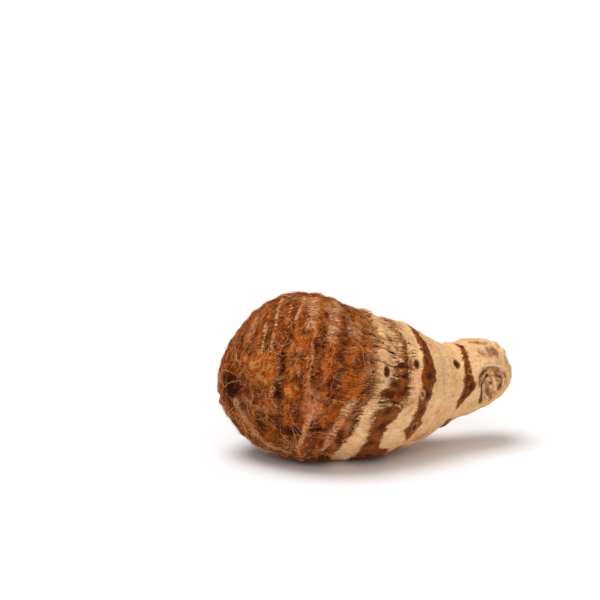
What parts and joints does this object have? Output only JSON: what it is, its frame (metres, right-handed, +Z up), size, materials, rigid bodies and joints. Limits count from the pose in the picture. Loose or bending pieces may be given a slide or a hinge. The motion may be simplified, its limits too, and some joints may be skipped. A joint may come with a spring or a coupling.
{
  "type": "taro root",
  "caption": "Pear-shaped taro corm lying on its side, with leaf-scar rings, bud scars and a knotted neck.",
  "frame": {"origin": "centre of the bounding box in plan, at the height of the flat spot that the corm rests on", "axes": "+X along the corm from its fat shoot end to its narrow neck, +Z up from the surface it lies on"},
  "size_m": [0.112, 0.0614, 0.0607],
  "materials": {
    "taro_skin": "dry fibrous bark, matt, reddish brown over the fat part and pale tan with brown rings on the neck"
  },
  "bodies": {
    "root": {"taro_corm": "taro_skin"}
  },
  "joints": []
}
